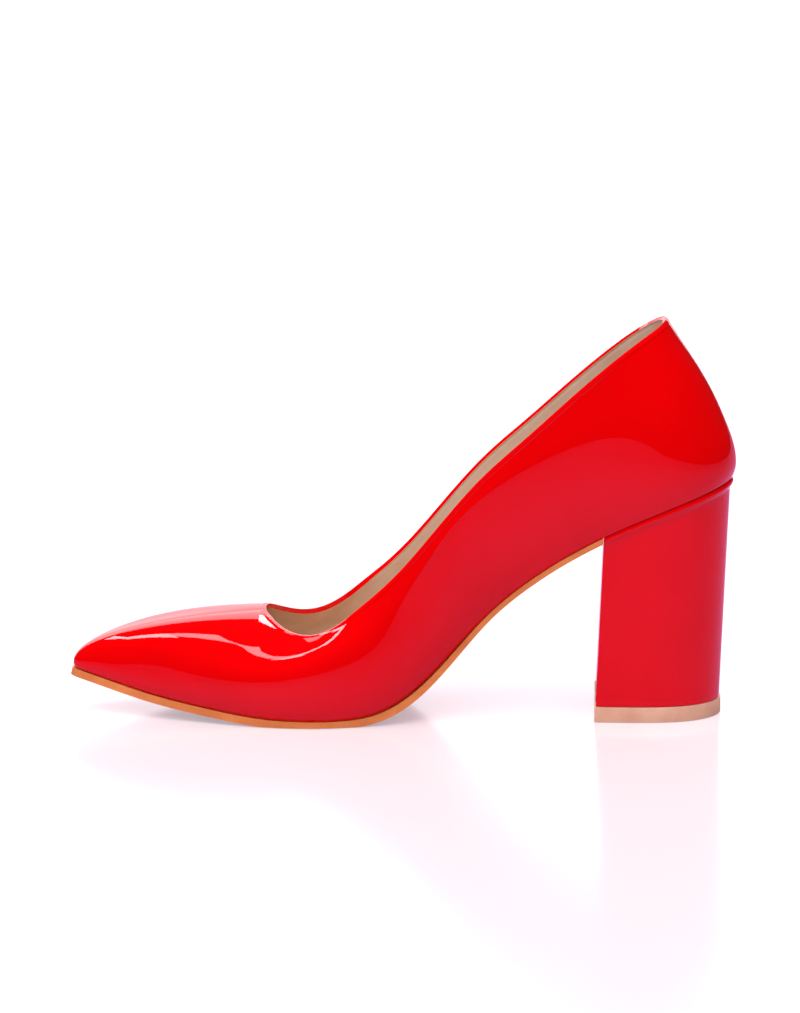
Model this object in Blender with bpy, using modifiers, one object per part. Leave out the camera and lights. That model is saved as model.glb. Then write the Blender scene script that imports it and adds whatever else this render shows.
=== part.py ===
"""Block heel pump, right shoe: pointed patent upper, insole, thin outsole, covered heel and top piece.

Metres, +Z up. The toe points to -Y and the inner (medial) side of the foot is +X. The shoe stands on the
floor at z = 0, and the origin is the middle of its bounding box on the floor.

The last is described by stations round its bottom edge. A station is an angle: 0 is the middle of the
heel's back, 180 the toe tip, positive angles run along the medial side and negative ones along the lateral
side. The cosine of the angle gives the place along the length, so stations crowd at the two round ends.
"""

import math

import bmesh
import bpy
import numpy as np
from mathutils import Vector

MM = 0.001

# Driving sizes of the shoe
LENGTH = 239.0 * MM  # feather line, heel back to toe tip, on the floor
BALL_WIDTH = 75.0 * MM  # feather line across the joints
HEEL_HEIGHT = 87.0 * MM  # floor to the feather line at the back
BACK_HEIGHT = 66.5 * MM  # feather line to the topline above it, measured upright
UPPER_WALL = 1.8 * MM  # patent, interlining and lining together
INSOLE_THICKNESS = 2.2 * MM
SOLE_THICKNESS = 2.7 * MM  # at the tread
WAIST_SOLE_THICKNESS = 1.9 * MM  # under the arch
SOLE_TAPER_START = 0.36  # length shares between which the sole thickens towards the tread
SOLE_TAPER_END = 0.52
SOLE_LIP = 0.6 * MM  # how far the sole's edge stands out past the feather line
HEEL_SEAT_LENGTH = 46.5 * MM  # heel back to breast along the seat
HEEL_FOOT_LENGTH = 44.8 * MM  # the same at the top piece
HEEL_FOOT_WIDTH = 47.0 * MM
HEEL_RAKE = 3.6 * MM  # how far the foot of the heel sits forward of its top, at the back
HEEL_INSET = 0.9 * MM  # the covered heel lies this far inside the feather line
HEEL_EDGE_RADIUS = 0.9 * MM
TIP_THICKNESS = 5.4 * MM
TIP_OVERHANG = 0.5 * MM
SEAT_RADIUS = 25.5 * MM  # plan radius of the heel seat's back
TOE_RADIUS = 5.0 * MM  # plan radius of the pointed toe
BACK_TOP_RADIUS = 19.0 * MM  # plan radius of the topline at the back
THROAT_RADIUS = 24.0 * MM  # plan radius of the throat's front
TOE_SWING = 4.0 * MM  # how far the toe tip curves to the medial side
CLEARANCE = 0.3 * MM  # between neighbouring pieces
WELD = 0.01 * MM  # vertices closer than this are one

# Mesh density
COLUMNS = 104  # round the upper
LOWER_ROWS = 6  # feather line to widest line
UPPER_ROWS = 10  # widest line to topline
PLATE_STATIONS = 44  # along the sole and the insole
PLATE_LANES = 6  # across them, and across the heel
HEEL_STATIONS = 14

# Height of the feather line above the tread, a row for each place along the bottom of the last
BOTTOM_COLUMNS = ("length_share", "heel_share")
BOTTOM_LINE = (
    (0.000, 1.000),
    (0.090, 0.907),
    (0.190, 0.788),
    (0.250, 0.698),
    (0.312, 0.583),
    (0.375, 0.435),
    (0.437, 0.248),
    (0.487, 0.120),
    (0.533, 0.052),
    (0.583, 0.030),
    (0.650, 0.029),
    (0.710, 0.035),
    (0.790, 0.061),
    (0.875, 0.099),
    (0.945, 0.145),
    (1.000, 0.182),
)

# Half widths of the feather line, a row every 15 degrees between the heel back and the toe tip
WIDTH_COLUMNS = ("medial", "lateral")  # shares of the ball width
HALF_WIDTHS = (
    (0.186, 0.188),
    (0.312, 0.314),
    (0.342, 0.350),
    (0.318, 0.362),
    (0.292, 0.385),
    (0.385, 0.450),
    (0.497, 0.500),
    (0.418, 0.422),
    (0.276, 0.286),
    (0.157, 0.168),
    (0.071, 0.077),
)

# Topline, a row every 15 degrees. Heights are shares of the back height above the feather line, half widths
# shares of the ball width
TOPLINE_COLUMNS = ("length_share", "height_medial", "height_lateral", "half_width_medial", "half_width_lateral")
TOPLINE = (
    (0.103, 1.000, 1.000, 0.000, 0.000),
    (0.110, 0.994, 0.992, 0.150, 0.150),
    (0.152, 0.965, 0.950, 0.290, 0.292),
    (0.230, 0.882, 0.858, 0.352, 0.362),
    (0.333, 0.800, 0.775, 0.372, 0.395),
    (0.441, 0.790, 0.768, 0.386, 0.420),
    (0.535, 0.660, 0.645, 0.402, 0.432),
    (0.581, 0.548, 0.540, 0.400, 0.420),
    (0.621, 0.462, 0.458, 0.374, 0.378),
    (0.657, 0.446, 0.444, 0.318, 0.320),
    (0.684, 0.475, 0.474, 0.240, 0.240),
    (0.702, 0.511, 0.511, 0.128, 0.128),
    (0.708, 0.522, 0.522, 0.000, 0.000),
)

# Shape of the wall at each station, a row every 15 degrees. bulge and rise place the widest line, crown and
# reach are the handles of the curve from there to the topline, slope is the wall's fall at the topline,
# forward is how much that fall heads for the toe, and lean is how far the wall's upright tips forward
WALL_COLUMNS = (
    "bulge_medial",
    "bulge_lateral",
    "rise_medial",
    "rise_lateral",
    "crown",
    "reach",
    "slope",
    "forward",
    "lean",
)
WALL = (
    (0.075, 0.075, 0.285, 0.285, 0.300, 0.30, 78.0, 0.0, 22.0),
    (0.070, 0.070, 0.285, 0.285, 0.300, 0.30, 79.0, 0.0, 22.0),
    (0.058, 0.056, 0.300, 0.290, 0.280, 0.28, 81.0, 0.0, 22.0),
    (0.062, 0.056, 0.360, 0.310, 0.210, 0.22, 80.0, 0.0, 22.0),
    (0.090, 0.064, 0.450, 0.330, 0.120, 0.13, 78.0, 0.0, 25.0),
    (0.126, 0.066, 0.460, 0.320, 0.100, 0.12, 76.0, 0.0, 27.0),
    (0.078, 0.060, 0.320, 0.250, 0.140, 0.15, 70.0, 0.1, 14.0),
    (0.046, 0.050, 0.220, 0.200, 0.150, 0.17, 54.0, 0.3, 3.0),
    (0.038, 0.040, 0.160, 0.150, 0.150, 0.22, 32.0, 0.5, -2.0),
    (0.030, 0.032, 0.120, 0.120, 0.190, 0.38, 14.0, 0.7, -6.0),
    (0.022, 0.024, 0.088, 0.088, 0.195, 0.52, 2.0, 0.9, -10.0),
    (0.016, 0.017, 0.060, 0.060, 0.160, 0.56, 0.0, 1.0, -13.0),
    (0.014, 0.014, 0.045, 0.045, 0.135, 0.57, 2.0, 1.0, -14.0),
)


def closed_spline(values):
    """A smooth curve through evenly spaced values round a closed loop, as a function of the turn, 0 to 1."""
    values = np.array(values, float)
    count = len(values)
    ring = 4.0 * np.eye(count) + np.roll(np.eye(count), 1, 0) + np.roll(np.eye(count), -1, 0)
    bends = np.linalg.solve(ring, 6.0 * (np.roll(values, -1) - 2.0 * values + np.roll(values, 1)))

    def at(turn):
        place = (turn % 1.0) * count
        low = int(place) % count
        high = (low + 1) % count
        u = place - int(place)
        curve = ((1 - u) ** 3 - (1 - u)) * bends[low] + (u**3 - u) * bends[high]
        return (1 - u) * values[low] + u * values[high] + curve / 6.0

    return at


def open_spline(places, values):
    """A smooth curve through unevenly spaced values, with free ends."""
    places = np.array(places, float)
    values = np.array(values, float)
    gaps = np.diff(places)
    count = len(places)
    system = np.eye(count)
    right = np.zeros(count)
    for i in range(1, count - 1):
        system[i, i - 1 : i + 2] = gaps[i - 1], 2.0 * (gaps[i - 1] + gaps[i]), gaps[i]
        right[i] = 6.0 * ((values[i + 1] - values[i]) / gaps[i] - (values[i] - values[i - 1]) / gaps[i - 1])
    bends = np.linalg.solve(system, right)

    def at(place):
        i = int(np.clip(np.searchsorted(places, place) - 1, 0, count - 2))
        gap = gaps[i]
        a = (places[i + 1] - place) / gap
        b = 1.0 - a
        curve = ((a**3 - a) * bends[i] + (b**3 - b) * bends[i + 1]) * gap**2 / 6.0
        return a * values[i] + b * values[i + 1] + curve

    return at


def round_the_shoe(medial, lateral):
    """A closed curve whose medial side takes one column's rows and whose lateral side takes the other's."""
    return closed_spline(list(medial) + list(lateral[-2:0:-1]))


def column(table, names, name):
    return [row[names.index(name)] for row in table]


def spread(half_widths, heel_radius, toe_radius, span):
    """Half widths as multiples of the sine of the station angle, with the round ends set by their radii."""
    steps = len(half_widths) - 1
    inner = [half_widths[i] / math.sin(math.pi * i / steps) for i in range(1, steps)]
    return [math.sqrt(heel_radius * span / 2)] + inner + [math.sqrt(toe_radius * span / 2)]


bottom_share = open_spline(
    column(BOTTOM_LINE, BOTTOM_COLUMNS, "length_share"),
    column(BOTTOM_LINE, BOTTOM_COLUMNS, "heel_share"),
)


def feather_spread(name):
    inner = [share * BALL_WIDTH for share in column(HALF_WIDTHS, WIDTH_COLUMNS, name)]
    return spread([0.0] + inner + [0.0], SEAT_RADIUS, TOE_RADIUS, LENGTH)


feather_width = round_the_shoe(feather_spread("medial"), feather_spread("lateral"))


def topline_column(name, scale):
    return [value * scale for value in column(TOPLINE, TOPLINE_COLUMNS, name)]


def topline_spread(name):
    along = topline_column("length_share", LENGTH)
    span = along[-1] - along[0]
    return spread(topline_column(name, BALL_WIDTH), BACK_TOP_RADIUS, THROAT_RADIUS, span)


def both_sides(values):
    return round_the_shoe(values, values)


topline_width = round_the_shoe(topline_spread("half_width_medial"), topline_spread("half_width_lateral"))
topline_along = both_sides(topline_column("length_share", LENGTH))
topline_up = round_the_shoe(
    topline_column("height_medial", BACK_HEIGHT),
    topline_column("height_lateral", BACK_HEIGHT),
)


def wall_column(name, scale):
    return [value * scale for value in column(WALL, WALL_COLUMNS, name)]


wall_bulge = round_the_shoe(
    wall_column("bulge_medial", BACK_HEIGHT),
    wall_column("bulge_lateral", BACK_HEIGHT),
)
wall_rise = round_the_shoe(
    wall_column("rise_medial", BACK_HEIGHT),
    wall_column("rise_lateral", BACK_HEIGHT),
)
wall_crown = both_sides(wall_column("crown", BACK_HEIGHT))
wall_reach = both_sides(wall_column("reach", BACK_HEIGHT))
wall_slope = both_sides(wall_column("slope", math.radians(1.0)))
wall_forward = both_sides(wall_column("forward", 1.0))
wall_lean = both_sides(wall_column("lean", math.radians(1.0)))


def length_to_y(along):
    """A place along the length, measured forward from the heel's back, as a Y coordinate."""
    return LENGTH / 2 - along


def ramp(value, start, end):
    """Rises smoothly from 0 at start to 1 at end."""
    share = min(1.0, max(0.0, (value - start) / (end - start)))
    return share * share * (3 - 2 * share)


def axis_x(along):
    """The last's middle line, straight in the heel and curved to the medial side in the forefoot."""
    share = max(0.0, 2 * along / LENGTH - 1)
    return TOE_SWING * share * share


def feather_height(along):
    share = along / LENGTH
    return HEEL_HEIGHT * bottom_share(share)


def feather_point(turn):
    """The edge between the upper and what it stands on."""
    angle = 2 * math.pi * turn
    along = LENGTH * (1 - math.cos(angle)) / 2
    across = axis_x(along) + math.sin(angle) * feather_width(turn)
    return Vector((across, length_to_y(along), feather_height(along)))


def topline_point(turn):
    angle = 2 * math.pi * turn
    along = topline_along(turn)
    across = axis_x(along) + math.sin(angle) * topline_width(turn)
    return Vector((across, length_to_y(along), feather_height(along) + topline_up(turn)))


def outward(curve, turn):
    """The flat outward normal of a closed plan curve that runs from the heel's back along the medial side."""
    step = 0.001
    run = curve(turn + step) - curve(turn - step)
    return Vector((-run.y, run.x, 0.0)).normalized()


def bezier(a, b, c, d, t):
    s = 1 - t
    return a * s**3 + b * (3 * s * s * t) + c * (3 * s * t * t) + d * t**3


def upper_point(turn, row):
    """A point of the upper's outside. Rows run from the feather line over the widest line to the topline."""
    foot = feather_point(turn)
    out = outward(feather_point, turn)
    lean = wall_lean(turn)
    up = Vector((0.0, -math.sin(lean), math.cos(lean)))
    bulge = wall_bulge(turn)
    rise = wall_rise(turn)
    widest = foot + out * bulge + up * rise
    if row <= LOWER_ROWS:
        start = foot + out * bulge * 0.7 + up * rise * 0.22
        return bezier(foot, start, widest - up * rise * 0.45, widest, row / LOWER_ROWS)
    top = topline_point(turn)
    slope = wall_slope(turn)
    forward = wall_forward(turn)
    aim = (outward(topline_point, turn) * (1 - forward) + Vector((0.0, -forward, 0.0))).normalized()
    fall = aim * math.cos(slope) - up * math.sin(slope)
    t = (row - LOWER_ROWS) / UPPER_ROWS
    return bezier(widest, widest + up * wall_crown(turn), top + fall * wall_reach(turn), top, t)


def plain_material(name, colour, roughness, coat=0.0):
    material = bpy.data.materials.new(name)
    material.use_nodes = True
    shader = material.node_tree.nodes["Principled BSDF"]
    shader.inputs["Base Color"].default_value = (*colour, 1.0)
    shader.inputs["Roughness"].default_value = roughness
    shader.inputs["Coat Weight"].default_value = coat
    return material


def add_object(name, mesh, material, collection):
    piece = bpy.data.objects.new(name, mesh)
    collection.objects.link(piece)
    mesh.materials.append(material)
    return piece


def mesh_from(bm, name):
    bmesh.ops.remove_doubles(bm, verts=bm.verts, dist=WELD)
    bmesh.ops.recalc_face_normals(bm, faces=bm.faces)
    mesh = bpy.data.meshes.new(name)
    bm.to_mesh(mesh)
    bm.free()
    mesh.shade_smooth()
    return mesh


def grid(columns, rows, place):
    """A sheet of quads whose vertex (i, j) lies at place(i, j)."""
    bm = bmesh.new()
    made = bmesh.ops.create_grid(bm, x_segments=columns, y_segments=rows, size=0.5)
    for vertex in made["verts"]:
        i = round((vertex.co.x + 0.5) * columns)
        j = round((vertex.co.y + 0.5) * rows)
        vertex.co = place(i, j)
    return bm


def make_upper(collection, material):
    bm = grid(COLUMNS, LOWER_ROWS + UPPER_ROWS, lambda i, j: upper_point(i / COLUMNS, j))
    upper = add_object("upper", mesh_from(bm, "upper"), material, collection)
    wall = upper.modifiers.new("wall", "SOLIDIFY")
    wall.thickness = UPPER_WALL
    wall.offset = -1
    wall.use_even_offset = True
    wall.use_quality_normals = True
    return upper


def bottom_up(y):
    """The direction square to the bottom of the last at a Y coordinate."""
    along = LENGTH / 2 - y
    slope = (feather_height(along + MM) - feather_height(along - MM)) / (2 * MM)
    return Vector((0.0, slope, 1.0)).normalized()


def plate(first, margin, lift):
    """A sheet along the bottom of the last, from a place along its length to the toe."""
    start = math.acos(1 - 2 * first / LENGTH)

    def place(i, j):
        turn = (start + (math.pi - start) * i / PLATE_STATIONS) / (2 * math.pi)
        medial = feather_point(turn) + outward(feather_point, turn) * margin
        lateral = feather_point(-turn) + outward(feather_point, -turn) * margin
        point = lateral.lerp(medial, j / PLATE_LANES)
        return point + bottom_up(point.y) * lift

    return grid(PLATE_STATIONS, PLATE_LANES, place)


def thicken(bm, offset):
    """Gives a sheet a thickness. offset(point) is the step from a point of it to the other face."""
    bmesh.ops.remove_doubles(bm, verts=bm.verts, dist=WELD)
    made = bmesh.ops.extrude_face_region(bm, geom=bm.faces[:])
    for item in made["geom"]:
        if isinstance(item, bmesh.types.BMVert):
            item.co += offset(item.co)


def sole_offset(point):
    along = LENGTH / 2 - point.y
    at_tread = ramp(along / LENGTH, SOLE_TAPER_START, SOLE_TAPER_END)
    thickness = WAIST_SOLE_THICKNESS + (SOLE_THICKNESS - WAIST_SOLE_THICKNESS) * at_tread
    return bottom_up(point.y) * -thickness


def cut_flat(bm, point, normal):
    """Cuts away what lies beyond a plane and closes the cut."""
    cut = bmesh.ops.bisect_plane(
        bm,
        geom=bm.verts[:] + bm.edges[:] + bm.faces[:],
        plane_co=point,
        plane_no=normal,
        clear_outer=True,
    )
    rim = [item for item in cut["geom_cut"] if isinstance(item, bmesh.types.BMEdge)]
    bmesh.ops.holes_fill(bm, edges=rim)


def heel_foot_front():
    return length_to_y(HEEL_INSET) - HEEL_RAKE - HEEL_FOOT_LENGTH


def breast_plane():
    """A point and the forward normal of the heel's flat breast."""
    top = Vector((0.0, length_to_y(HEEL_SEAT_LENGTH), feather_height(HEEL_SEAT_LENGTH)))
    run = top - Vector((0.0, heel_foot_front(), TIP_THICKNESS))
    return top, Vector((0.0, -run.z, run.y)).normalized()


def make_outsole(collection, material):
    bm = plate(HEEL_SEAT_LENGTH - 2 * SOLE_THICKNESS, SOLE_LIP, -CLEARANCE)
    thicken(bm, sole_offset)
    cut_flat(bm, (0, 0, 0), (0, 0, -1))
    point, forward = breast_plane()
    cut_flat(bm, point + forward * CLEARANCE, -forward)
    return add_object("outsole", mesh_from(bm, "outsole"), material, collection)


def make_insole(collection, material):
    bm = plate(0.0, -UPPER_WALL - CLEARANCE, CLEARANCE / 2)
    thicken(bm, lambda point: bottom_up(point.y) * INSOLE_THICKNESS)
    return add_object("insole", mesh_from(bm, "insole"), material, collection)


def heel_edge(share, side):
    """The heel seat's outline, from its back at share 0 to a little past the breast at share 1."""
    end = math.acos(1 - 2 * (HEEL_SEAT_LENGTH + HEEL_RAKE) / LENGTH)
    turn = side * share * end / (2 * math.pi)
    return feather_point(turn) - outward(feather_point, turn) * HEEL_INSET


def heel_seat_point(i, j):
    lateral = heel_edge(i / HEEL_STATIONS, -1)
    point = lateral.lerp(heel_edge(i / HEEL_STATIONS, 1), j / PLATE_LANES)
    return Vector((point.x, point.y, feather_height(LENGTH / 2 - point.y) - CLEARANCE))


def heel_foot_point(seat, grow, height):
    """The place at the heel's foot that lies under a point of its seat."""
    widest = max(heel_edge(i / HEEL_STATIONS, 1).x for i in range(HEEL_STATIONS + 1))
    back = length_to_y(HEEL_INSET)
    depth = HEEL_SEAT_LENGTH - HEEL_INSET
    along = (back - seat.y) * (HEEL_FOOT_LENGTH + 2 * grow) / depth
    across = seat.x * (HEEL_FOOT_WIDTH / 2 + grow) / widest
    return Vector((across, back - HEEL_RAKE + grow - along, height))


def make_heel(collection, material):
    foot = TIP_THICKNESS + CLEARANCE
    bm = grid(HEEL_STATIONS, PLATE_LANES, heel_seat_point)
    thicken(bm, lambda point: heel_foot_point(point, 0.0, foot) - point)
    cut_flat(bm, *breast_plane())
    heel = add_object("heel", mesh_from(bm, "heel"), material, collection)
    edges = heel.modifiers.new("rolled edges", "BEVEL")
    edges.width = HEEL_EDGE_RADIUS
    edges.segments = 2
    edges.limit_method = "ANGLE"
    edges.angle_limit = math.radians(40)
    return heel


def make_heel_tip(collection, material):
    bm = grid(
        HEEL_STATIONS,
        PLATE_LANES,
        lambda i, j: heel_foot_point(heel_seat_point(i, j), TIP_OVERHANG, TIP_THICKNESS),
    )
    thicken(bm, lambda point: Vector((0.0, 0.0, -TIP_THICKNESS)))
    cut_flat(bm, (0, heel_foot_front() - TIP_OVERHANG, 0), (0, -1, 0))
    return add_object("heel_tip", mesh_from(bm, "heel_tip"), material, collection)


def world_corners(pieces):
    bpy.context.view_layer.update()
    graph = bpy.context.evaluated_depsgraph_get()
    corners = []
    for piece in pieces:
        shown = piece.evaluated_get(graph)
        corners += [shown.matrix_world @ vertex.co for vertex in shown.to_mesh().vertices]
        shown.to_mesh_clear()
    low = Vector(min(c[k] for c in corners) for k in range(3))
    high = Vector(max(c[k] for c in corners) for k in range(3))
    return low, high


def main():
    for left in list(bpy.data.objects):
        bpy.data.objects.remove(left)
    collection = bpy.data.collections.new("block_heel_pump")
    bpy.context.scene.collection.children.link(collection)
    red = plain_material("red_patent", (0.78, 0.0, 0.012), 0.12, coat=1.0)
    tan = plain_material("tan_resin", (0.56, 0.23, 0.10), 0.45)
    beige = plain_material("beige_sock", (0.80, 0.62, 0.47), 0.60)
    nude = plain_material("nude_rubber", (0.86, 0.58, 0.43), 0.50)
    pieces = [
        make_upper(collection, red),
        make_insole(collection, beige),
        make_outsole(collection, tan),
        make_heel(collection, red),
        make_heel_tip(collection, nude),
    ]
    low, high = world_corners(pieces)
    for piece in pieces:
        piece.location = (-(low.x + high.x) / 2, -(low.y + high.y) / 2, 0.0)


main()
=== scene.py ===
import math

import bmesh
import bpy
import numpy as np
from mathutils import Matrix, Vector


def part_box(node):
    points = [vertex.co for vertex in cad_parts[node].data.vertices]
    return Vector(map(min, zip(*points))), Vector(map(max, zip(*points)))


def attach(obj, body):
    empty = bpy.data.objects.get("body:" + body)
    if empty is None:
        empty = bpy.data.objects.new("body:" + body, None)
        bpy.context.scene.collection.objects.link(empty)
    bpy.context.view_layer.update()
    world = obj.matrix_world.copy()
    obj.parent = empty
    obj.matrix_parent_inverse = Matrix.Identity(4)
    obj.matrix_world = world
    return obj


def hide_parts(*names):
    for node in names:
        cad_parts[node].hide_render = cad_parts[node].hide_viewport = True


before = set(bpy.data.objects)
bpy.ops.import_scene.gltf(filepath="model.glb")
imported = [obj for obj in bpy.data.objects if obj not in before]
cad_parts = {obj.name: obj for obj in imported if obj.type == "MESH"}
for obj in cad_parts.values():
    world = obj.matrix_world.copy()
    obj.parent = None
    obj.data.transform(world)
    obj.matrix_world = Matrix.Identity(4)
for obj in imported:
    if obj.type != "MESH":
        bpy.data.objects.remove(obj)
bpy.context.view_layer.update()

mm = 0.001


# Sizes of the last that the whole shoe is drawn on, in mm
last = {
    "length": 239.0,  # feather line, heel back to toe tip
    "ballWidth": 75.0,
    "heelHeight": 87.0,
    "backHeight": 66.5,  # topline above the feather line at the back
    "seatRadius": 25.5,
    "toeRadius": 5.0,
    "backTopRadius": 19.0,
    "throatRadius": 24.0,
    "toeSwing": 4.0,
}

# Height of the feather line: share of the length, share of the heel height
bottomLine = [
    (0.000, 1.000),
    (0.090, 0.907),
    (0.190, 0.788),
    (0.250, 0.698),
    (0.312, 0.583),
    (0.375, 0.435),
    (0.437, 0.248),
    (0.487, 0.120),
    (0.533, 0.052),
    (0.583, 0.030),
    (0.650, 0.029),
    (0.710, 0.035),
    (0.790, 0.061),
    (0.875, 0.099),
    (0.945, 0.145),
    (1.000, 0.182),
]

# Half widths of the feather line every 15 degrees, shares of the ball width: medial, lateral
halfWidths = [
    (0.186, 0.188),
    (0.312, 0.314),
    (0.342, 0.350),
    (0.318, 0.362),
    (0.292, 0.385),
    (0.385, 0.450),
    (0.497, 0.500),
    (0.418, 0.422),
    (0.276, 0.286),
    (0.157, 0.168),
    (0.071, 0.077),
]

# Topline every 15 degrees: along, height medial, height lateral, half width medial, half width lateral
topline = [
    (0.103, 1.000, 1.000, 0.000, 0.000),
    (0.110, 0.994, 0.992, 0.150, 0.150),
    (0.152, 0.965, 0.950, 0.290, 0.292),
    (0.230, 0.882, 0.858, 0.352, 0.362),
    (0.333, 0.800, 0.775, 0.372, 0.395),
    (0.441, 0.790, 0.768, 0.386, 0.420),
    (0.535, 0.660, 0.645, 0.402, 0.432),
    (0.581, 0.548, 0.540, 0.400, 0.420),
    (0.621, 0.462, 0.458, 0.374, 0.378),
    (0.657, 0.446, 0.444, 0.318, 0.320),
    (0.684, 0.475, 0.474, 0.240, 0.240),
    (0.702, 0.511, 0.511, 0.128, 0.128),
    (0.708, 0.522, 0.522, 0.000, 0.000),
]

# Wall every 15 degrees: bulge medial and lateral, rise medial and lateral, crown and reach, all shares of
# the back height; then its slope at the topline in degrees, how far that faces forward, and its lean in
# degrees
wall = [
    (0.075, 0.075, 0.285, 0.285, 0.300, 0.30, 78.0, 0.0, 22.0),
    (0.070, 0.070, 0.285, 0.285, 0.300, 0.30, 79.0, 0.0, 22.0),
    (0.058, 0.056, 0.300, 0.290, 0.280, 0.28, 81.0, 0.0, 22.0),
    (0.062, 0.056, 0.360, 0.310, 0.210, 0.22, 80.0, 0.0, 22.0),
    (0.090, 0.064, 0.450, 0.330, 0.120, 0.13, 78.0, 0.0, 25.0),
    (0.126, 0.066, 0.460, 0.320, 0.100, 0.12, 76.0, 0.0, 27.0),
    (0.078, 0.060, 0.320, 0.250, 0.140, 0.15, 70.0, 0.1, 14.0),
    (0.046, 0.050, 0.220, 0.200, 0.150, 0.17, 54.0, 0.3, 3.0),
    (0.038, 0.040, 0.160, 0.150, 0.150, 0.22, 32.0, 0.5, -2.0),
    (0.030, 0.032, 0.120, 0.120, 0.190, 0.38, 14.0, 0.7, -6.0),
    (0.022, 0.024, 0.088, 0.088, 0.195, 0.52, 2.0, 0.9, -10.0),
    (0.016, 0.017, 0.060, 0.060, 0.160, 0.56, 0.0, 1.0, -13.0),
    (0.014, 0.014, 0.045, 0.045, 0.135, 0.57, 2.0, 1.0, -14.0),
]

widestShare = 0.4  # the wall's widest line, from 0 at the feather line to 1 at the topline
wallPulls = {"footOut": 0.7, "footUp": 0.22, "widestDown": 0.45}  # shares of bulge and rise, below that line


def closedSpline(values):  # smooth curve through even steps round a ring, read by the turn from 0 to 1
    values = np.array(values, float)
    count = len(values)
    ring = 4.0 * np.eye(count) + np.roll(np.eye(count), 1, 0) + np.roll(np.eye(count), -1, 0)
    bends = np.linalg.solve(ring, 6.0 * (np.roll(values, -1) - 2.0 * values + np.roll(values, 1)))

    def at(turn):
        place = (turn % 1.0) * count
        low = int(place) % count
        high = (low + 1) % count
        u = place - int(place)
        curve = ((1 - u) ** 3 - (1 - u)) * bends[low] + (u**3 - u) * bends[high]
        return (1 - u) * values[low] + u * values[high] + curve / 6.0

    return at


def openSpline(places, values):  # smooth curve through uneven steps
    gaps = np.diff(places)
    count = len(places)
    system = np.eye(count)
    right = np.zeros(count)
    for i in range(1, count - 1):
        system[i, i - 1:i + 2] = gaps[i - 1], 2.0 * (gaps[i - 1] + gaps[i]), gaps[i]
        right[i] = 6.0 * ((values[i + 1] - values[i]) / gaps[i] - (values[i] - values[i - 1]) / gaps[i - 1])
    bends = np.linalg.solve(system, right)

    def at(place):
        i = int(np.clip(np.searchsorted(places, place) - 1, 0, count - 2))
        a = (places[i + 1] - place) / gaps[i]
        b = 1.0 - a
        curve = ((a**3 - a) * bends[i] + (b**3 - b) * bends[i + 1]) * gaps[i] ** 2 / 6.0
        return a * values[i] + b * values[i + 1] + curve

    return at


def column(table, number, scale=1.0):
    return [row[number] * scale for row in table]


def ringOf(medial, lateral):  # medial rows go one way round from the heel's back, lateral rows the other
    return closedSpline(list(medial) + list(lateral[-2:0:-1]))


def spread(widths, backRadius, frontRadius, span):  # half widths over the sine, with radii at the two ends
    steps = len(widths) - 1
    inner = [widths[i] / math.sin(math.pi * i / steps) for i in range(1, steps)]
    return [math.sqrt(backRadius * span / 2)] + inner + [math.sqrt(frontRadius * span / 2)]


def footSpread(number):
    widths = [0.0] + column(halfWidths, number, last["ballWidth"]) + [0.0]
    return spread(widths, last["seatRadius"], last["toeRadius"], last["length"])


def topSpread(number):
    span = (topline[-1][0] - topline[0][0]) * last["length"]
    widths = column(topline, number, last["ballWidth"])
    return spread(widths, last["backTopRadius"], last["throatRadius"], span)


def wallRing(medial, lateral, scale):
    return ringOf(column(wall, medial, scale), column(wall, lateral, scale))


bottomShare = openSpline([row[0] for row in bottomLine], [row[1] for row in bottomLine])
footWidth = ringOf(footSpread(0), footSpread(1))
topWidth = ringOf(topSpread(3), topSpread(4))
topAlong = ringOf(column(topline, 0, last["length"]), column(topline, 0, last["length"]))
topUp = ringOf(column(topline, 1, last["backHeight"]), column(topline, 2, last["backHeight"]))
bulgeAt = wallRing(0, 1, last["backHeight"])
riseAt = wallRing(2, 3, last["backHeight"])
crownAt = wallRing(4, 4, last["backHeight"])
reachAt = wallRing(5, 5, last["backHeight"])
slopeAt = wallRing(6, 6, math.radians(1))
forwardAt = wallRing(7, 7, 1.0)
leanAt = wallRing(8, 8, math.radians(1))


def footHeight(along):
    return last["heelHeight"] * bottomShare(along / last["length"])


def axisX(along):
    share = max(0.0, 2 * along / last["length"] - 1)
    return last["toeSwing"] * share * share


def footPoint(turn):  # feather line, where the upper meets what it stands on
    angle = 2 * math.pi * turn
    along = last["length"] * (1 - math.cos(angle)) / 2
    across = axisX(along) + math.sin(angle) * footWidth(turn)
    return Vector((across, last["length"] / 2 - along, footHeight(along)))


def topPoint(turn):  # topline
    angle = 2 * math.pi * turn
    along = topAlong(turn)
    across = axisX(along) + math.sin(angle) * topWidth(turn)
    return Vector((across, last["length"] / 2 - along, footHeight(along) + topUp(turn)))


def outward(curve, turn):
    run = curve(turn + 0.001) - curve(turn - 0.001)
    return Vector((-run.y, run.x, 0.0)).normalized()


def bezier(a, b, c, d, t):
    s = 1 - t
    return a * s**3 + b * (3 * s * s * t) + c * (3 * s * t * t) + d * t**3


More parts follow.
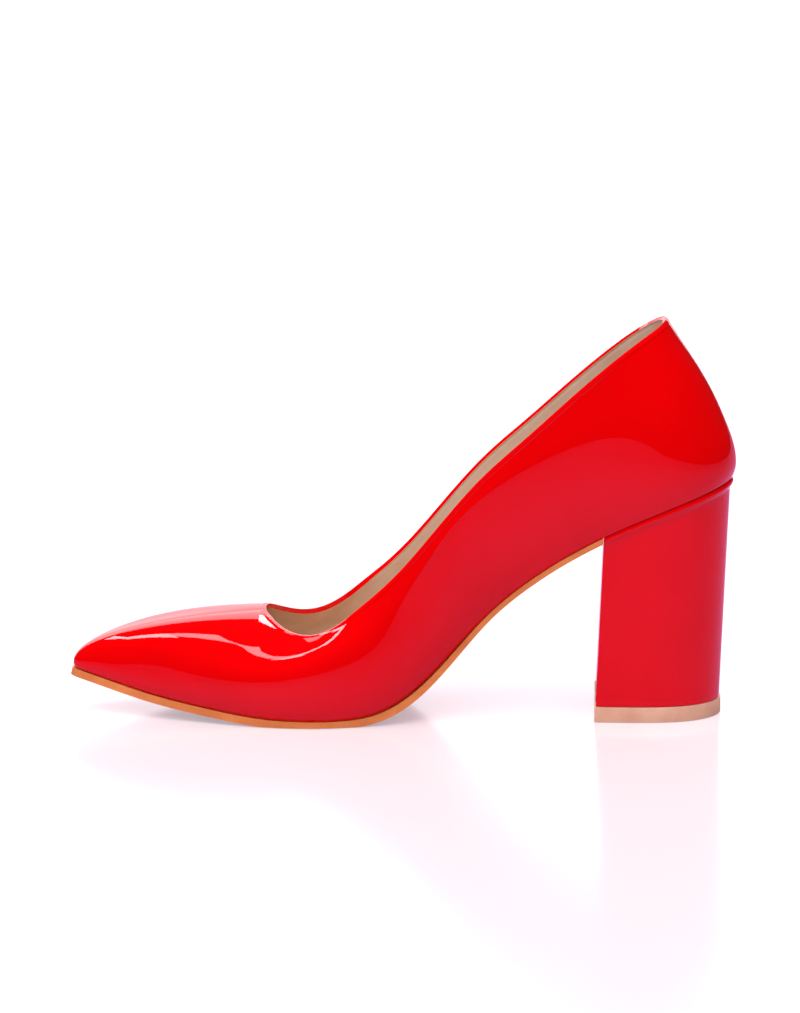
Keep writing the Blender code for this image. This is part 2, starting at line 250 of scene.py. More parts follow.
def wallPoint(turn, share):  # outside of the upper, share 0 at the feather line and 1 at the topline
    foot = footPoint(turn)
    out = outward(footPoint, turn)
    up = Vector((0.0, -math.sin(leanAt(turn)), math.cos(leanAt(turn))))
    bulge = bulgeAt(turn)
    rise = riseAt(turn)
    widest = foot + out * bulge + up * rise
    if share <= widestShare:
        start = foot + out * bulge * wallPulls["footOut"] + up * rise * wallPulls["footUp"]
        end = widest - up * rise * wallPulls["widestDown"]
        return bezier(foot, start, end, widest, share / widestShare)
    top = topPoint(turn)
    forward = forwardAt(turn)
    aim = (outward(topPoint, turn) * (1 - forward) + Vector((0.0, -forward, 0.0))).normalized()
    fall = aim * math.cos(slopeAt(turn)) - up * math.sin(slopeAt(turn))
    start = widest + up * crownAt(turn)
    return bezier(widest, start, top + fall * reachAt(turn), top, (share - widestShare) / (1 - widestShare))


def wallNormal(turn, share):  # out of the shoe
    around = wallPoint(turn + 0.002, share) - wallPoint(turn - 0.002, share)
    along = wallPoint(turn, min(1.0, share + 0.01)) - wallPoint(turn, max(0.0, share - 0.01))
    return along.cross(around).normalized()


def liningPoint(turn, share, depth):  # a point that lies inside the upper's outer face by a depth in mm
    return wallPoint(turn, share) - wallNormal(turn, share) * depth


def soleUp(y):  # square to the bottom of the last
    along = last["length"] / 2 - y
    return Vector((0.0, (footHeight(along + 1) - footHeight(along - 1)) / 2, 1.0)).normalized()


def smoothRise(value, start, end):
    share = min(1.0, max(0.0, (value - start) / (end - start)))
    return share * share * (3 - 2 * share)


# The CAD part is centred on its box, so the last is moved by the same step
cadGrid = {"columns": 104, "lowerRows": 6, "upperRows": 10}


def cadShares():
    rest = 1 - widestShare
    lower = [widestShare * j / cadGrid["lowerRows"] for j in range(cadGrid["lowerRows"])]
    return lower + [widestShare + rest * j / cadGrid["upperRows"] for j in range(cadGrid["upperRows"] + 1)]


def stepToCad():
    low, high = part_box("upper")
    turns = [i / cadGrid["columns"] for i in range(cadGrid["columns"])]
    places = [wallPoint(turn, share) for turn in turns for share in cadShares()]
    step = [0.0, 0.0, 0.0]
    for axis in (0, 1):
        middle = (min(p[axis] for p in places) + max(p[axis] for p in places)) / 2
        step[axis] = (low[axis] + high[axis]) / 2 - middle * mm
    return Vector(step)


lastStep = stepToCad()
print("last set on the CAD box, step in mm:", [round(c / mm, 3) for c in lastStep])


# Helpers for meshes
def gridOf(columns, rows, place):  # create_grid bent to place(i, j), given in mm
    bm = bmesh.new()
    made = bmesh.ops.create_grid(bm, x_segments=columns, y_segments=rows, size=0.5)
    for vert in made["verts"]:
        i = round((vert.co.x + 0.5) * columns)
        j = round((vert.co.y + 0.5) * rows)
        vert.co = place(i, j) * mm + lastStep
    return bm


def mergeClose(bm):
    bmesh.ops.remove_doubles(bm, verts=bm.verts, dist=0.01 * mm)


def turnOut(bm):
    bmesh.ops.recalc_face_normals(bm, faces=bm.faces)
    bm.normal_update()


def thicken(bm, *levels):  # a solid from a sheet: each level(first place in mm) gives the next place in mm
    home = bm.verts.layers.float_vector.new("home")
    for vert in bm.verts:
        vert[home] = vert.co
    cap = bm.faces[:]
    for number, level in enumerate(levels):
        made = bmesh.ops.extrude_face_region(bm, geom=cap)["geom"]
        if number:  # only the first sheet stays as a side of the solid
            bmesh.ops.delete(bm, geom=cap, context="FACES")
        cap = [item for item in made if isinstance(item, bmesh.types.BMFace)]
        for vert in [item for item in made if isinstance(item, bmesh.types.BMVert)]:
            vert.co = level((vert[home] - lastStep) / mm) * mm + lastStep
    bm.verts.layers.float_vector.remove(home)
    turnOut(bm)


def cutFlat(bm, point, normal):  # takes off what lies past the plane and closes the cut
    cut = bmesh.ops.bisect_plane(bm, geom=bm.verts[:] + bm.edges[:] + bm.faces[:],
                                 plane_co=point, plane_no=normal, clear_outer=True)
    rim = [item for item in cut["geom_cut"] if isinstance(item, bmesh.types.BMEdge)]
    bmesh.ops.holes_fill(bm, edges=rim)


def keepPiece(bm, name, materials, nodes=()):
    mesh = bpy.data.meshes.new(name)
    bm.to_mesh(mesh)
    bm.free()
    mesh.shade_smooth()
    piece = bpy.data.objects.new(name, mesh)
    bpy.context.scene.collection.objects.link(piece)
    for material in materials:
        mesh.materials.append(material)
    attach(piece, "root")
    if nodes:
        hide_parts(*nodes)
    return piece


def addSubdivision(piece, levels):
    smooth = piece.modifiers.new("smooth", "SUBSURF")
    smooth.levels = levels
    smooth.render_levels = levels


def addRoundEdges(piece, width, segments, angle):
    edge = piece.modifiers.new("round edges", "BEVEL")
    edge.width = width * mm
    edge.segments = segments
    edge.limit_method = "ANGLE"
    edge.angle_limit = math.radians(angle)
    edge.harden_normals = True


# Helpers for materials
def hexColour(text):  # sRGB hex to linear
    parts = [int(text[i:i + 2], 16) / 255 for i in (0, 2, 4)]
    return tuple(c / 12.92 if c <= 0.04045 else ((c + 0.055) / 1.055) ** 2.4 for c in parts) + (1.0,)


def addNode(tree, kind, settings=None, links=None):
    node = tree.nodes.new(kind)
    for key, value in (settings or {}).items():
        if key in node.inputs:
            node.inputs[key].default_value = value
        else:
            setattr(node, key, value)
    for key, source in (links or {}).items():
        tree.links.new(source, node.inputs[key])
    return node


def newMaterial(name):
    material = bpy.data.materials.new(name)
    material.use_nodes = True
    tree = material.node_tree
    return material, tree, tree.nodes["Principled BSDF"]


def setStops(node, stops):  # colours of a ramp, from (place, hex) pairs
    band = node.color_ramp
    while len(band.elements) < len(stops):
        band.elements.new(0.5)
    for element, (place, text) in zip(band.elements, stops):
        element.position = place
        element.color = hexColour(text)


def perMm(size):  # scale of a pattern whose repeat is a size in mm
    return 1 / (size * mm)


# Patent leather: split hide under a cast polyurethane film, so an even, deep red below a clear mirror gloss
# that swells softly where the hide isn't flat. The film's own orange peel is finer than the render shows, so
# it is drawn coarser
patent = {"red": "f70005", "deep": "ef0004", "toneMm": 40.0,
          "swellMm": 26.0, "swellDepthMm": 0.10, "peelMm": 3.0, "peelDepthMm": 0.0012,
          "undercoat": 0.5, "gloss": 0.012, "filmIor": 1.42}


def makePatent(name, swell):
    material, tree, shader = newMaterial(name)
    where = addNode(tree, "ShaderNodeTexCoord").outputs["Object"]
    tone = addNode(tree, "ShaderNodeTexNoise",
                   {"Scale": perMm(patent["toneMm"]), "Detail": 1.0}, {"Vector": where})
    colour = addNode(tree, "ShaderNodeValToRGB", links={"Fac": tone.outputs["Fac"]})
    setStops(colour, [(0.3, patent["deep"]), (0.7, patent["red"])])
    hide = addNode(tree, "ShaderNodeTexNoise",
                   {"Scale": perMm(patent["swellMm"]), "Detail": 0.0}, {"Vector": where})
    peel = addNode(tree, "ShaderNodeTexNoise",
                   {"Scale": perMm(patent["peelMm"]), "Detail": 1.0}, {"Vector": where})
    soft = addNode(tree, "ShaderNodeBump",
                   {"Strength": 1.0, "Distance": patent["swellDepthMm"] * mm * swell},
                   {"Height": hide.outputs["Fac"]})
    skin = addNode(tree, "ShaderNodeBump", {"Strength": 1.0, "Distance": patent["peelDepthMm"] * mm},
                   {"Height": peel.outputs["Fac"], "Normal": soft.outputs["Normal"]})
    tree.links.new(colour.outputs["Color"], shader.inputs["Base Color"])
    tree.links.new(skin.outputs["Normal"], shader.inputs["Normal"])
    tree.links.new(skin.outputs["Normal"], shader.inputs["Coat Normal"])
    shader.inputs["Roughness"].default_value = patent["undercoat"]
    shader.inputs["Specular IOR Level"].default_value = 0.0
    shader.inputs["Coat Weight"].default_value = 1.0
    shader.inputs["Coat Roughness"].default_value = patent["gloss"]
    shader.inputs["Coat IOR"].default_value = patent["filmIor"]
    return material


# Leather, suede, thread, resin and polyurethane share one build: a mottled colour between two hex values and
# a raised grain, each at its own real size
def makeGrained(name, look):
    material, tree, shader = newMaterial(name)
    where = addNode(tree, "ShaderNodeTexCoord").outputs["Object"]
    drawn = addNode(tree, "ShaderNodeMapping", {"Scale": look["stretch"]}, {"Vector": where})
    patch = addNode(tree, "ShaderNodeTexNoise",
                    {"Scale": perMm(look["patchMm"]), "Detail": 6.0, "Roughness": 0.6},
                    {"Vector": drawn.outputs["Vector"]})
    colour = addNode(tree, "ShaderNodeValToRGB", links={"Fac": patch.outputs["Fac"]})
    setStops(colour, [(0.30, look["dark"]), (0.68, look["light"])])
    grain = addNode(tree, look["grainNode"], {"Scale": perMm(look["grainMm"])}, {"Vector": where})
    bump = addNode(tree, "ShaderNodeBump",
                   {"Strength": look["grainStrength"], "Distance": look["grainDepthMm"] * mm},
                   {"Height": grain.outputs[look["grainOutput"]]})
    rough = addNode(tree, "ShaderNodeMapRange", {"To Min": look["rough"][0], "To Max": look["rough"][1]},
                    {"Value": patch.outputs["Fac"]})
    tree.links.new(colour.outputs["Color"], shader.inputs["Base Color"])
    tree.links.new(bump.outputs["Normal"], shader.inputs["Normal"])
    tree.links.new(rough.outputs["Result"], shader.inputs["Roughness"])
    shader.inputs["Sheen Weight"].default_value = look["sheen"]
    return material


# Lining: sheepskin, dyed through and buffed, so pale and matt with small open pores
sheepskin = {"light": "ecd3be", "dark": "ddbda4", "stretch": (1.0, 1.0, 1.0), "patchMm": 14.0,
             "grainNode": "ShaderNodeTexVoronoi", "grainOutput": "Distance", "grainMm": 0.8,
             "grainDepthMm": 0.05, "grainStrength": 0.5, "rough": (0.55, 0.7), "sheen": 0.15}

# Sock: coated lining leather over thin foam, smoother and browner than the lining
coatedLeather = {"light": "e0bb9e", "dark": "d2a98a", "stretch": (1.0, 1.0, 1.0), "patchMm": 25.0,
                 "grainNode": "ShaderNodeTexVoronoi", "grainOutput": "Distance", "grainMm": 1.0,
                 "grainDepthMm": 0.05, "grainStrength": 0.5, "rough": (0.42, 0.55), "sheen": 0.0}

# Heel grip: brushed suede split, so a dull nap that is darker where it lies the other way
suede = {"light": "d9b596", "dark": "c39c7c", "stretch": (1.0, 1.0, 0.6), "patchMm": 8.0,
         "grainNode": "ShaderNodeTexNoise", "grainOutput": "Fac", "grainMm": 0.5,
         "grainDepthMm": 0.12, "grainStrength": 0.8, "rough": (0.85, 0.95), "sheen": 0.5}

# Thread: spun polyester, so a soft lustre and a slightly uneven beige
thread = {"light": "ead6c2", "dark": "d8bfa6", "stretch": (1.0, 1.0, 1.0), "patchMm": 3.0,
          "grainNode": "ShaderNodeTexNoise", "grainOutput": "Fac", "grainMm": 0.25,
          "grainDepthMm": 0.03, "grainStrength": 0.6, "rough": (0.45, 0.6), "sheen": 0.2}

# Sole: moulded resin with a dyed and waxed edge, so an orange tan with soft streaks, as the resin flowed
resin = {"light": "f89252", "dark": "e27c42", "stretch": (1.0, 0.5, 1.5), "patchMm": 9.0,
         "grainNode": "ShaderNodeTexNoise", "grainOutput": "Fac", "grainMm": 0.6,
         "grainDepthMm": 0.04, "grainStrength": 0.6, "rough": (0.35, 0.5), "sheen": 0.0}

# Top piece: injected polyurethane, cast solid, so satin nude with a slight mottle
polyurethane = {"light": "f9c2a8", "dark": "eaae92", "stretch": (1.0, 1.0, 1.0), "patchMm": 7.0,
                "grainNode": "ShaderNodeTexNoise", "grainOutput": "Fac", "grainMm": 0.5,
                "grainDepthMm": 0.03, "grainStrength": 0.5, "rough": (0.4, 0.52), "sheen": 0.0}

patentSkin = makePatent("patentLeather", 1.0)
heelSkin = makePatent("patentLeatherHeel", 0.35)  # pulled tight over the block, so it lies flatter
liningSkin = makeGrained("sheepskinLining", sheepskin)
sockSkin = makeGrained("coatedSockLeather", coatedLeather)
gripSuede = makeGrained("suedeSplit", suede)
gripThread = makeGrained("polyesterThread", thread)
soleResin = makeGrained("mouldedResin", resin)
tipCast = makeGrained("castPolyurethane", polyurethane)
print("materials made")


# Upper: one patent shell from the feather line to the folded topline, with the lining on its inside. The
# fold swells below the topline, and a closed seam runs down the middle of the back. Sizes in mm
upper = {
    "columns": 132,
    "rows": 26,
    "wall": 1.75,
    "rimRadius": 0.85,
    "foldSteps": [4.2, 3.4, 2.8, 2.3, 1.8, 1.3, 0.0],  # down from the topline
    "foldLifts": [0.0, 0.0, -0.03, 0.0, 0.12, 0.18, -0.25],
    "seamSteps": [0.0, 0.35, 0.8, 1.3, 2.0, 3.2],  # to either side of the seam
    "seamLifts": [-0.26, -0.14, 0.04, 0.06, 0.02, 0.0],
    "backRun": 300.0,  # mm round the back for a whole turn, halfway up
}


def upperTurns():
    near = [step / upper["backRun"] for step in upper["seamSteps"]]
    rest = 1 - 2 * near[-1]
    middle = [near[-1] + rest * i / upper["columns"] for i in range(1, upper["columns"])]
    return near + middle + [1 - turn for turn in reversed(near)]


def upperShares(turn):  # even up to the fold, then at the fold's own steps
    perShare = (wallPoint(turn, 1.0) - wallPoint(turn, 0.99)).length / 0.01
    tail = [1 - step / perShare for step in upper["foldSteps"]]
    return [tail[0] * j / upper["rows"] for j in range(upper["rows"])] + tail


def makeUpper():
    turns = upperTurns()
    shares = [upperShares(turn) for turn in turns]
    seam = upper["seamLifts"] + [0.0] * (upper["columns"] - 1) + upper["seamLifts"][::-1]
    fold = [0.0] * upper["rows"] + upper["foldLifts"]

    def place(i, j):
        lift = seam[i] + fold[j]
        return liningPoint(turns[i], shares[i][j], -lift)

    bm = gridOf(len(turns) - 1, len(fold) - 1, place)
    mergeClose(bm)
    turnOut(bm)
    piece = keepPiece(bm, "patentUpper", [patentSkin, liningSkin], ["upper"])
    shell = piece.modifiers.new("shell", "SOLIDIFY")
    shell.thickness = upper["wall"] * mm
    shell.offset = -1
    shell.use_even_offset = True
    shell.use_quality_normals = True
    shell.material_offset = 1
    addRoundEdges(piece, upper["rimRadius"], 3, 50)
    addSubdivision(piece, 1)


makeUpper()
print("upper made")


# Heel grip: a suede patch sewn inside the back, with one row of stitches round it
grip = {"halfTurn": 0.095, "low": 0.34, "high": 0.93, "corner": 0.28, "thick": 0.6, "gap": 0.05,
        "edge": 0.2, "columns": 48, "rows": 22,
        "stitches": 96, "stitchLong": 0.85, "stitchThick": 0.22, "stitchFlat": 0.7,
        "stitchInset": 0.07, "stitchLow": 0.07, "stitchHigh": 0.97,
        "stitchShares": (0.24, 0.26, 0.24, 0.26)}  # of the stitches, on each side of the patch


def gripPlace(u, v):  # u from -1 to 1 round the back, v from 0 to 1 upwards, narrowed towards the bottom
    narrow = 1 - grip["corner"] * (1 - v) ** 2
    return u * grip["halfTurn"] * narrow, grip["low"] + (grip["high"] - grip["low"]) * v


def makeGrip():
    depth = upper["wall"] + grip["gap"]

    def place(i, j):
        turn, share = gripPlace(2 * i / grip["columns"] - 1, j / grip["rows"])
        return liningPoint(turn, share, depth)

    bm = gridOf(grip["columns"], grip["rows"], place)
    turnOut(bm)
    piece = keepPiece(bm, "heelGrip", [gripSuede])
    shell = piece.modifiers.new("thickness", "SOLIDIFY")
    shell.thickness = grip["thick"] * mm
    inwards = piece.data.polygons[0].normal.dot(wallNormal(0.0, 0.6)) < 0
    shell.offset = 1 if inwards else -1
    addRoundEdges(piece, grip["edge"], 2, 50)


def makeGripStitches():
    edge = 1 - grip["stitchInset"]
    low = grip["stitchLow"]
    high = grip["stitchHigh"]
    corners = [(-edge, high), (-edge, low), (edge, low), (edge, high), (-edge, high)]
    path = []
    for (u0, v0), (u1, v1), part in zip(corners, corners[1:], grip["stitchShares"]):
        count = round(grip["stitches"] * part)
        path += [(u0 + (u1 - u0) * k / count, v0 + (v1 - v0) * k / count) for k in range(count)]
    path.append(path[0])
    bm = bmesh.new()
    depth = upper["wall"] + grip["gap"] + grip["thick"]
    spots = [gripPlace(u, v) for u, v in path]
    for (turnA, shareA), (turnB, shareB) in zip(spots, spots[1:]):
        a = liningPoint(turnA, shareA, depth)
        b = liningPoint(turnB, shareB, depth)
        run = (b - a).normalized()
        out = wallNormal(turnA, shareA)
        side = out.cross(run).normalized()
        turned = Matrix((run, side, run.cross(side))).transposed().to_4x4()
        thick = grip["stitchThick"]
        sized = Matrix.Diagonal((grip["stitchLong"], thick, thick * grip["stitchFlat"], 1.0))
        middle = Matrix.Translation((a + b) / 2 * mm + lastStep)
        bmesh.ops.create_icosphere(bm, subdivisions=1, radius=mm, matrix=middle @ turned @ sized)
    keepPiece(bm, "gripStitches", [gripThread])


makeGrip()
makeGripStitches()
print("heel grip made")


# Sock over the insole board, with a foam pad in the seat
insole = {"stations": 96, "lanes": 20, "thick": 2.2, "inside": 2.1, "gap": 0.15, "edge": 0.45,
          "padFront": 78.0, "padBack": 7.0, "padInset": 5.0, "padLift": 0.7, "padEdge": 4.0}


def plateOf(stations, lanes, first, margin, lift):  # the last's bottom from a length to the toe, as a sheet
    start = math.acos(1 - 2 * first / last["length"])

    def place(i, j):
        turn = (start + (math.pi - start) * i / stations) / (2 * math.pi)
        medial = footPoint(turn) + outward(footPoint, turn) * margin
        lateral = footPoint(-turn) + outward(footPoint, -turn) * margin
        point = lateral.lerp(medial, j / lanes)
        return point + soleUp(point.y) * lift

    bm = gridOf(stations, lanes, place)
    mergeClose(bm)
    return bm


def edgeDistance(point):  # across the shoe, from a point on the bottom to the nearer edge
    along = min(max(last["length"] / 2 - point.y, 0.0), last["length"])
    turn = math.acos(1 - 2 * along / last["length"]) / (2 * math.pi)
    return min(footPoint(turn).x - point.x, point.x - footPoint(-turn).x)


def padRise(point):
    along = last["length"] / 2 - point.y
    sides = smoothRise(edgeDistance(point), insole["padInset"], insole["padInset"] + insole["padEdge"])
    back = smoothRise(along, insole["padBack"], insole["padBack"] + insole["padEdge"])
    front = 1 - smoothRise(along, insole["padFront"] - insole["padEdge"], insole["padFront"])
    return insole["padLift"] * sides * back * front


def makeSock():
    bm = plateOf(insole["stations"], insole["lanes"], 0.0, -insole["inside"], insole["gap"])
    thicken(bm, lambda point: point + soleUp(point.y) * (insole["thick"] + padRise(point)))
    piece = keepPiece(bm, "sockLining", [sockSkin], ["insole"])
    addRoundEdges(piece, insole["edge"], 2, 40)
    addSubdivision(piece, 1)


makeSock()
print("sock made")


# Heel and its top piece in mm, the main sizes as in the CAD part. Roll is the rim under the upper, as pairs
# of down the wall and out from it, and footBand is the straight band above the foot's edge
heel = {"seat": 46.5, "foot": 44.8, "footWidth": 47.0, "rake": 3.6, "inset": 0.9, "gap": 0.3, "rim": 0.5,
        "tipThick": 5.4, "tipRound": 0.45, "overhang": 0.5, "stations": 36, "lanes": 12,
        "roll": [(0.25, 0.6), (0.8, 1.0), (1.5, 1.05), (2.3, 0.8), (3.0, 0.2), (3.8, 0.0), (5.5, 0.0)],
        "footBand": 2.5, "breastInset": 1.2, "breastLift": 0.15, "treadInset": 2.4, "treadDepth": 0.4,
        "panelEdge": 0.15}  # width of the step round a panel


def heelFront():
    return last["length"] / 2 - heel["inset"] - heel["rake"] - heel["foot"]


def breastPlane():  # a point in metres and the forward normal of the heel's flat breast
    top = Vector((0.0, last["length"] / 2 - heel["seat"], footHeight(heel["seat"])))
    run = top - Vector((0.0, heelFront(), heel["tipThick"]))
    return top * mm + lastStep, Vector((0.0, -run.z, run.y)).normalized()


# Outsole: resin sheet from the breast to the toe, thinner under the arch, with shallow ribs where it treads
outsole = {"stations": 360, "lanes": 26, "thick": 2.7, "waist": 1.9, "lip": 0.6, "gap": 0.3, "edge": 0.4,
           "spare": 5.4,  # length behind the breast that the cut takes off
           "taper": (0.36, 0.52), "treadStart": 116.0, "treadEnd": 206.0, "treadInset": 6.0,
           "treadEdge": 1.6, "ribPitch": 3.4, "ribDepth": 0.35}


def soleUnder(point):  # the underside, flat on the floor where the last would go through it
    tread = smoothRise((last["length"] / 2 - point.y) / last["length"], *outsole["taper"])
    under = point - soleUp(point.y) * (outsole["waist"] + (outsole["thick"] - outsole["waist"]) * tread)
    under.z = max(under.z, 0.0) + ribRise(under)
    return under


def ribRise(point):
    along = last["length"] / 2 - point.y
    edge = outsole["treadEdge"]
    sides = smoothRise(edgeDistance(point), outsole["treadInset"], outsole["treadInset"] + edge)
    back = smoothRise(along, outsole["treadStart"], outsole["treadStart"] + edge)
    front = 1 - smoothRise(along, outsole["treadEnd"] - edge, outsole["treadEnd"])
    wave = 0.5 - 0.5 * math.cos(2 * math.pi * along / outsole["ribPitch"])
    return outsole["ribDepth"] * sides * back * front * smoothRise(wave, 0.2, 0.8)


def makeOutsole():
    start = heel["seat"] - outsole["spare"]
    bm = plateOf(outsole["stations"], outsole["lanes"], start, outsole["lip"], -outsole["gap"])
    thicken(bm, soleUnder)
    point, forward = breastPlane()
    cutFlat(bm, point + forward * outsole["gap"] * mm, -forward)
    mergeClose(bm)
    turnOut(bm)
    piece = keepPiece(bm, "resinOutsole", [soleResin], ["outsole"])
    addRoundEdges(piece, outsole["edge"], 3, 45)


makeOutsole()
print("outsole made")


# Heel: block in its patent cover, with a rolled rim under the upper and a cover piece on the breast
def heelEdge(share, side):
    end = math.acos(1 - 2 * heel["seat"] / last["length"])
    turn = side * share * end / (2 * math.pi)
    return footPoint(turn) - outward(footPoint, turn) * heel["inset"]


def heelSeat(i, j):  # the last station lies in the flat of the breast
    lateral = heelEdge(i / heel["stations"], -1)
    point = lateral.lerp(heelEdge(i / heel["stations"], 1), j / heel["lanes"])
    y = last["length"] / 2 - heel["seat"] if i == heel["stations"] else point.y
    return Vector((point.x, y, footHeight(last["length"] / 2 - y) - heel["gap"]))


seatWidest = max(heelEdge(i / heel["stations"], 1).x for i in range(heel["stations"] + 1))


def heelFoot(seat, grow, height):  # the seat's outline made as small as the heel's foot, at a height
    back = last["length"] / 2 - heel["inset"]
    along = (back - seat.y) * (heel["foot"] + 2 * grow) / (heel["seat"] - heel["inset"])
    across = seat.x * (heel["footWidth"] / 2 + grow) / seatWidest
    return Vector((across, back - heel["rake"] + grow - along, height))


def movePanel(bm, faces, inset, move):  # a panel inside these faces, moved by a step in mm
    for width in (inset, heel["panelEdge"]):
        bmesh.ops.inset_region(bm, faces=faces, thickness=width * mm, depth=0.0, use_even_offset=True)
    bmesh.ops.translate(bm, verts=list({vert for face in faces for vert in face.verts}), vec=move * mm)
    bm.normal_update()


def roundSharp(bm, width, wanted):  # rounds the edges over a radian sharp that wanted(edge) picks
    sharp = [edge for edge in bm.edges if edge.calc_face_angle(0.0) > 1.0 and wanted(edge)]
    bmesh.ops.bevel(bm, geom=sharp, offset=width * mm, segments=4, profile=0.5, affect="EDGES",
                    clamp_overlap=True, material=-1)
    bm.normal_update()


def rollOut(seat, down, out):  # down the block's wall from its seat, and out from it
    foot = heelFoot(seat, 0.0, heel["tipThick"] + heel["gap"])
    place = seat.lerp(foot, down / (seat.z - heel["tipThick"]))
    front = last["length"] / 2 - heel["seat"]
    share = (seat.y - front) / (heel["seat"] - heel["inset"])
    return place + Vector((out * seat.x / seatWidest, out * share, 0.0))


def makeHeel():
    bm = gridOf(heel["stations"], heel["lanes"], heelSeat)
    mergeClose(bm)
    levels = [lambda seat, down=down, out=out: rollOut(seat, down, out) for down, out in heel["roll"]]
    levels.append(lambda seat: rollOut(seat, seat.z - heel["tipThick"] - heel["footBand"], 0.0))
    levels.append(lambda seat: heelFoot(seat, 0.0, heel["tipThick"] + heel["gap"]))
    thicken(bm, *levels)
    low = (heel["tipThick"] + heel["gap"] + 0.01) * mm

    def wanted(edge):  # the two edges of the breast and the edge above the top piece
        a, b = edge.verts
        return max(a.co.z, b.co.z) < low or abs(a.co.z - b.co.z) > 0.7 * edge.calc_length()

    roundSharp(bm, heel["rim"], wanted)
    forward = breastPlane()[1]
    breast = [face for face in bm.faces if face.normal.dot(forward) > 0.999]
    movePanel(bm, breast, heel["breastInset"], forward * heel["breastLift"])
    keepPiece(bm, "heelBlock", [heelSkin], ["heel"])


def makeTopPiece():
    def place(i, j):
        return heelFoot(heelSeat(i, j), heel["overhang"], heel["tipThick"])

    bm = gridOf(heel["stations"], heel["lanes"], place)
    mergeClose(bm)
    thicken(bm, lambda point: point - Vector((0.0, 0.0, heel["tipThick"])))
    roundSharp(bm, heel["tipRound"], lambda edge: True)
    tread = [face for face in bm.faces if face.normal.z < -0.99]
    movePanel(bm, tread, heel["treadInset"], Vector((0.0, 0.0, heel["treadDepth"])))
    keepPiece(bm, "topPiece", [tipCast], ["heel_tip"])


makeHeel()
makeTopPiece()
print("heel made")


# Camera, at the photograph's angle: at the shoe's medial side, 10 degrees up and 2.4 m away, and behind the
# middle of the shoe as in the photograph, so the breast of the heel hardly shows. Places are in pixels of
# the photograph: where the shoe's origin lies in it, the part that fills the frame, and the camera's place
view = {"pixelMm": 0.547, "photoWide": 800, "photoHigh": 1013, "originX": 306.75, "originY": 949.0,
        "frameLeft": 40, "frameRight": 570, "middleY": 815, "axisX": 435,
        "tilt": 10.0, "distance": 2.4, "sensor": 36.0}


def makeCamera():
    data = bpy.data.cameras.new("camera")
    camera = bpy.data.objects.new("camera", data)
    bpy.context.scene.collection.objects.link(camera)
    bpy.context.scene.camera = camera
    tilt = math.radians(view["tilt"])
    middleX = (view["frameLeft"] + view["frameRight"]) / 2
    y = (middleX - view["originX"]) * view["pixelMm"] * mm
    aside = (view["axisX"] - middleX) * view["pixelMm"] * mm
    z = (view["originY"] - view["middleY"]) * view["pixelMm"] * mm / math.cos(tilt)
    target = Vector((0.0, y, z))
    camera.location = target + Vector((math.cos(tilt), 0.0, math.sin(tilt))) * view["distance"]
    camera.location.y += aside
    camera.rotation_euler = (camera.location - target).to_track_quat("Z", "Y").to_euler()
    wide = (view["frameRight"] - view["frameLeft"]) * view["pixelMm"] * mm
    high = wide * view["photoHigh"] / view["photoWide"]
    data.sensor_fit = "VERTICAL"
    data.sensor_height = view["sensor"]
    data.lens = view["sensor"] * view["distance"] / high


makeCamera()


# Studio in metres: pale floor, soft light from above and a little from the front, and panels that only the
# gloss sees. Two behind the shoe whiten the top of the vamp. The narrow boxes overhead draw its thin
# highlight, from the toe over the flank to the corner of the throat. The gloss sees the floor in pink, which
# turns the lower half crimson
studio = {"ambient": 0.24, "gloss": 0.02, "angle": 70.0, "panelHex": "fdf0f7",
          "floorHex": "c8c4c6", "floorMirrored": "f09cd8", "floorLift": 0.42, "liftHex": "fff2fd",
          "floorRadius": 9.0, "floorDown": 0.0002, "floorRough": 0.15, "floorShine": 0.3,
          # each sun: where it comes from and its power
          "suns": {"key": ((1.0, -0.25, 2.0), 3.0), "fill": ((-1.0, 0.4, 1.2), 0.9)},
          # each panel: its place, what it faces, its size and its brightness
          "panels": {
              "lowPanel": ((-6.0, -1.2, 1.4), (0.0, -1.2, 1.4), (6.0, 2.8), 1.4),
              "highPanel": ((-2.0, -0.4, 1.65), (0.0, -0.4, 1.65), (2.0, 1.45), 3.0),
              "flankBox": ((-0.14, -1.32, 2.0), (-0.14, -1.32, 0.0), (0.4, 0.86), 15.0),
              "flankEnd": ((-0.20, -0.68, 2.0), (-0.20, -0.68, 0.0), (0.3, 0.42), 8.0),
              "toeBox": ((-0.80, -1.635, 2.0), (-0.80, -1.635, 0.0), (0.9, 0.23), 15.0),
              "throatBox": ((-1.65, -0.16, 2.0), (-1.65, -0.16, 0.0), (1.1, 0.14), 15.0)}}


def addPanel(name, place, aim, size, radiance):
    data = bpy.data.lights.new(name, "AREA")
    data.shape = "RECTANGLE"
    data.size = size[0]
    data.size_y = size[1]
    data.energy = radiance * math.pi * size[0] * size[1]
    data.color = hexColour(studio["panelHex"])[:3]
    light = bpy.data.objects.new(name, data)
    light.location = place
    light.rotation_euler = (Vector(aim) - Vector(place)).to_track_quat("-Z", "Y").to_euler()
    light.visible_diffuse = False
    light.visible_camera = False
    bpy.context.scene.collection.objects.link(light)


def addSun(name, origin, power):
    data = bpy.data.lights.new(name, "SUN")
    data.energy = power
    data.angle = math.radians(studio["angle"])
    light = bpy.data.objects.new(name, data)
    light.rotation_euler = Vector(origin).to_track_quat("Z", "Y").to_euler()
    light.visible_glossy = False
    bpy.context.scene.collection.objects.link(light)


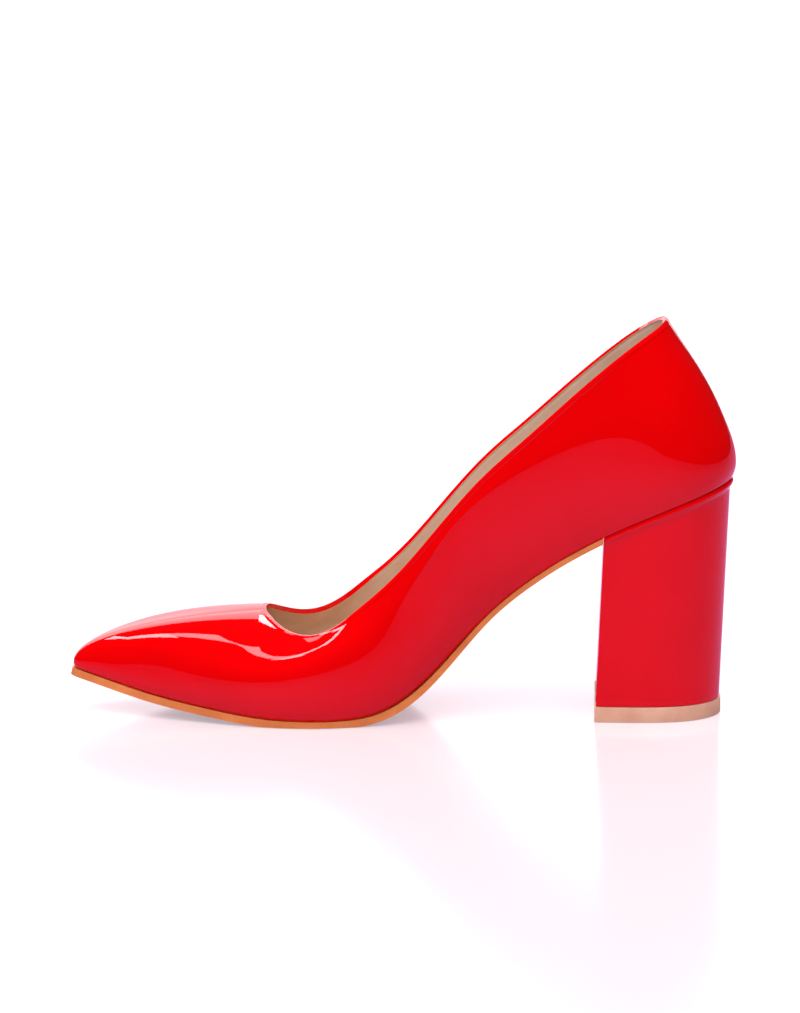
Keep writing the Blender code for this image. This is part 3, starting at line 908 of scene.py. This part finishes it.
def makeWorld():
    world = bpy.data.worlds.new("studio")
    bpy.context.scene.world = world
    world.use_nodes = True
    tree = world.node_tree
    rays = addNode(tree, "ShaderNodeLightPath")
    room = tree.nodes["Background"]
    room.inputs["Color"].default_value = hexColour("ffffff")
    room.inputs["Strength"].default_value = studio["ambient"]
    dark = addNode(tree, "ShaderNodeBackground", {"Color": hexColour("ffffff"), "Strength": studio["gloss"]})
    white = addNode(tree, "ShaderNodeBackground", {"Color": hexColour("ffffff"), "Strength": 1.0})
    glossy = addNode(tree, "ShaderNodeMixShader", links={0: rays.outputs["Is Glossy Ray"],
                                                         1: room.outputs["Background"],
                                                         2: dark.outputs["Background"]})
    seen = addNode(tree, "ShaderNodeMixShader", links={0: rays.outputs["Is Camera Ray"],
                                                       1: glossy.outputs["Shader"],
                                                       2: white.outputs["Background"]})
    tree.links.new(seen.outputs["Shader"], tree.nodes["World Output"].inputs["Surface"])
    bpy.context.scene.view_settings.view_transform = "Standard"


def makeFloor():
    bm = bmesh.new()
    bmesh.ops.create_circle(bm, cap_ends=True, segments=96, radius=studio["floorRadius"])
    mesh = bpy.data.meshes.new("floor")
    bm.to_mesh(mesh)
    bm.free()
    floor = bpy.data.objects.new("floor", mesh)
    floor.location = (0.0, 0.0, -studio["floorDown"])
    bpy.context.scene.collection.objects.link(floor)
    material, tree, shader = newMaterial("studioFloor")
    rays = addNode(tree, "ShaderNodeLightPath")
    lift = addNode(tree, "ShaderNodeMath", {"operation": "MULTIPLY"})
    tree.links.new(rays.outputs["Is Camera Ray"], lift.inputs[0])
    lift.inputs[1].default_value = studio["floorLift"]
    tree.links.new(lift.outputs["Value"], shader.inputs["Emission Strength"])
    shader.inputs["Emission Color"].default_value = hexColour(studio["liftHex"])
    paint = addNode(tree, "ShaderNodeMixRGB", {"Color1": hexColour(studio["floorHex"]),
                                               "Color2": hexColour(studio["floorMirrored"])},
                    {"Fac": rays.outputs["Is Glossy Ray"]})
    tree.links.new(paint.outputs["Color"], shader.inputs["Base Color"])
    shader.inputs["Roughness"].default_value = studio["floorRough"]
    shader.inputs["Specular IOR Level"].default_value = studio["floorShine"]
    mesh.materials.append(material)


makeWorld()
makeFloor()
for name, (origin, power) in studio["suns"].items():
    addSun(name, origin, power)
for name, (place, aim, size, radiance) in studio["panels"].items():
    addPanel(name, place, aim, size, radiance)
print("studio made")
